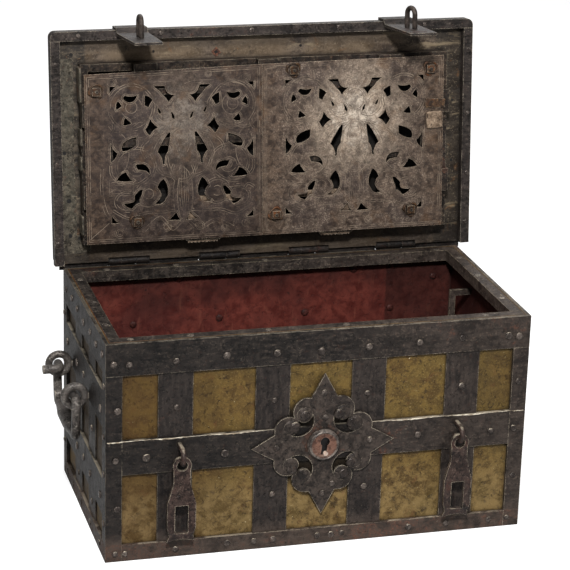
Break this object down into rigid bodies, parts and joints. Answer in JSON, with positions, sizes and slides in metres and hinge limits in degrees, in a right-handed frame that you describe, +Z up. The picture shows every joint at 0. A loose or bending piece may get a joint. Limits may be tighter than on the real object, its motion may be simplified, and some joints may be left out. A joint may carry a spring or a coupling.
{
  "type": "armada chest",
  "caption": "Iron strong box of riveted bands with its lid open, hasps on the front, bail handles at the ends and a bolt lock under pierced covers in the lid.",
  "frame": {"origin": "centre of the underside, on the floor", "axes": "+X to the right seen from the front, +Y to the back where the hinges are, +Z up"},
  "size_m": [0.7592, 0.4315, 0.7676],
  "materials": {
    "body_sheet": "old ochre paint worn to the iron outside, dull maroon paint inside",
    "band_iron": "charcoal brown patina with bright worn edges and rust",
    "strap_iron": "charcoal brown patina, thinly rusted",
    "mouth_iron": "grey rubbed iron",
    "dark_fittings": "dark brown patina with reddish rust",
    "handle_iron": "dark hand-rubbed iron",
    "lid_sheet": "grey-brown patina with soot and rust",
    "lock_iron": "grey iron with dry grease and rust",
    "left_lock_cover": "purple-brown patina with fine engraved lines",
    "right_lock_cover": "lighter brown patina, burnished in the middle"
  },
  "bodies": {
    "chest": {"front_sheet": "body_sheet", "back_sheet": "body_sheet", "left_sheet": "body_sheet", "right_sheet": "body_sheet", "floor_sheet": "body_sheet", "front_straps": "strap_iron", "back_straps": "strap_iron", "side_straps": "strap_iron", "top_bands": "band_iron", "bottom_bands": "band_iron", "front_middle_band": "band_iron", "back_middle_band": "band_iron", "left_side_bands": "band_iron", "right_side_bands": "band_iron", "corner_angles": "band_iron", "front_mouth_bar": "mouth_iron", "back_mouth_bar": "mouth_iron", "left_mouth_bar": "mouth_iron", "right_mouth_bar": "mouth_iron", "hinge_body_leaves": "band_iron", "hinge_pins": "band_iron", "inner_bracket": "mouth_iron", "false_escutcheon": "dark_fittings", "keyhole_boss": "dark_fittings", "hasp_staples": "dark_fittings", "handle_rings": "handle_iron"},
    "lid": {"lid_sheet": "lid_sheet", "lid_bands": "band_iron", "lid_rear_lips": "band_iron", "lid_straps": "strap_iron", "lid_front_rim": "band_iron", "lid_left_rim": "band_iron", "lid_right_rim": "band_iron", "hinge_lid_leaves": "band_iron", "left_hasp_tab": "dark_fittings", "right_hasp_tab": "dark_fittings", "padlock_eyes": "dark_fittings", "lock_frame": "lock_iron", "bolt_guides": "lock_iron", "spindle_bush": "lock_iron", "left_lock_cover": "left_lock_cover", "right_lock_cover": "right_lock_cover", "cover_posts": "lock_iron", "cover_nuts": "lock_iron", "key_plate": "dark_fittings", "cover_rivet": "dark_fittings"},
    "lock_spindle": {"spindle": "lock_iron"},
    "left_bolt_set": {"left_bolts": "lock_iron"},
    "right_bolt_set": {"right_bolts": "lock_iron"},
    "front_bolt_set": {"front_bolts": "lock_iron"},
    "rear_bolt_set": {"rear_bolts": "lock_iron"},
    "key_cover": {"keyhole_cover": "dark_fittings"},
    "hasp_left": {"left_hasp": "dark_fittings"},
    "hasp_right": {"right_hasp": "dark_fittings"},
    "handle_left": {"left_handle": "handle_iron"},
    "handle_right": {"right_handle": "handle_iron"}
  },
  "joints": [
    {"name": "lid_hinge", "type": "hinge", "parent": "chest", "child": "lid", "pos_m": [0, 0.178, 0.356], "axis": [1, 0, 0], "range_deg": [0, 96]},
    {"name": "spindle_turn", "type": "hinge", "parent": "lid", "child": "lock_spindle", "pos_m": [0, 0.17075, 0.53574], "axis": [0, -0.9945, 0.1045], "range_deg": [0, 60]},
    {"name": "left_bolt_slide", "type": "slide", "parent": "lid", "child": "left_bolt_set", "axis": [-1, 0, 0], "range_m": [0, 0.016]},
    {"name": "right_bolt_slide", "type": "slide", "parent": "lid", "child": "right_bolt_set", "axis": [1, 0, 0], "range_m": [0, 0.016]},
    {"name": "front_bolt_slide", "type": "slide", "parent": "lid", "child": "front_bolt_set", "axis": [0, 0.1045, 0.9945], "range_m": [0, 0.016]},
    {"name": "rear_bolt_slide", "type": "slide", "parent": "lid", "child": "rear_bolt_set", "axis": [0, -0.1045, -0.9945], "range_m": [0, 0.016]},
    {"name": "key_cover_swivel", "type": "hinge", "parent": "lid", "child": "key_cover", "pos_m": [0, 0.20309, 0.55648], "axis": [0, 0.9945, -0.1045], "continuous": true},
    {"name": "left_hasp_hinge", "type": "hinge", "parent": "chest", "child": "hasp_left", "pos_m": [-0.218, -0.194, 0.1725], "axis": [-1, 0, 0], "range_deg": [0, 180]},
    {"name": "right_hasp_hinge", "type": "hinge", "parent": "chest", "child": "hasp_right", "pos_m": [0.218, -0.194, 0.1725], "axis": [-1, 0, 0], "range_deg": [0, 180]},
    {"name": "left_handle_hinge", "type": "hinge", "parent": "chest", "child": "handle_left", "pos_m": [-0.3516, 0.028, 0.2165], "axis": [0, 1, 0], "range_deg": [0, 120]},
    {"name": "right_handle_hinge", "type": "hinge", "parent": "chest", "child": "handle_right", "pos_m": [0.3516, 0.028, 0.2165], "axis": [0, -1, 0], "range_deg": [0, 120]}
  ],
  "couplings": [
    {"joint": "spindle_turn", "follows": "front_bolt_slide", "rad_per_m": 65.45},
    {"joint": "left_bolt_slide", "follows": "front_bolt_slide", "ratio": 1},
    {"joint": "right_bolt_slide", "follows": "front_bolt_slide", "ratio": 1},
    {"joint": "rear_bolt_slide", "follows": "front_bolt_slide", "ratio": 1}
  ]
}
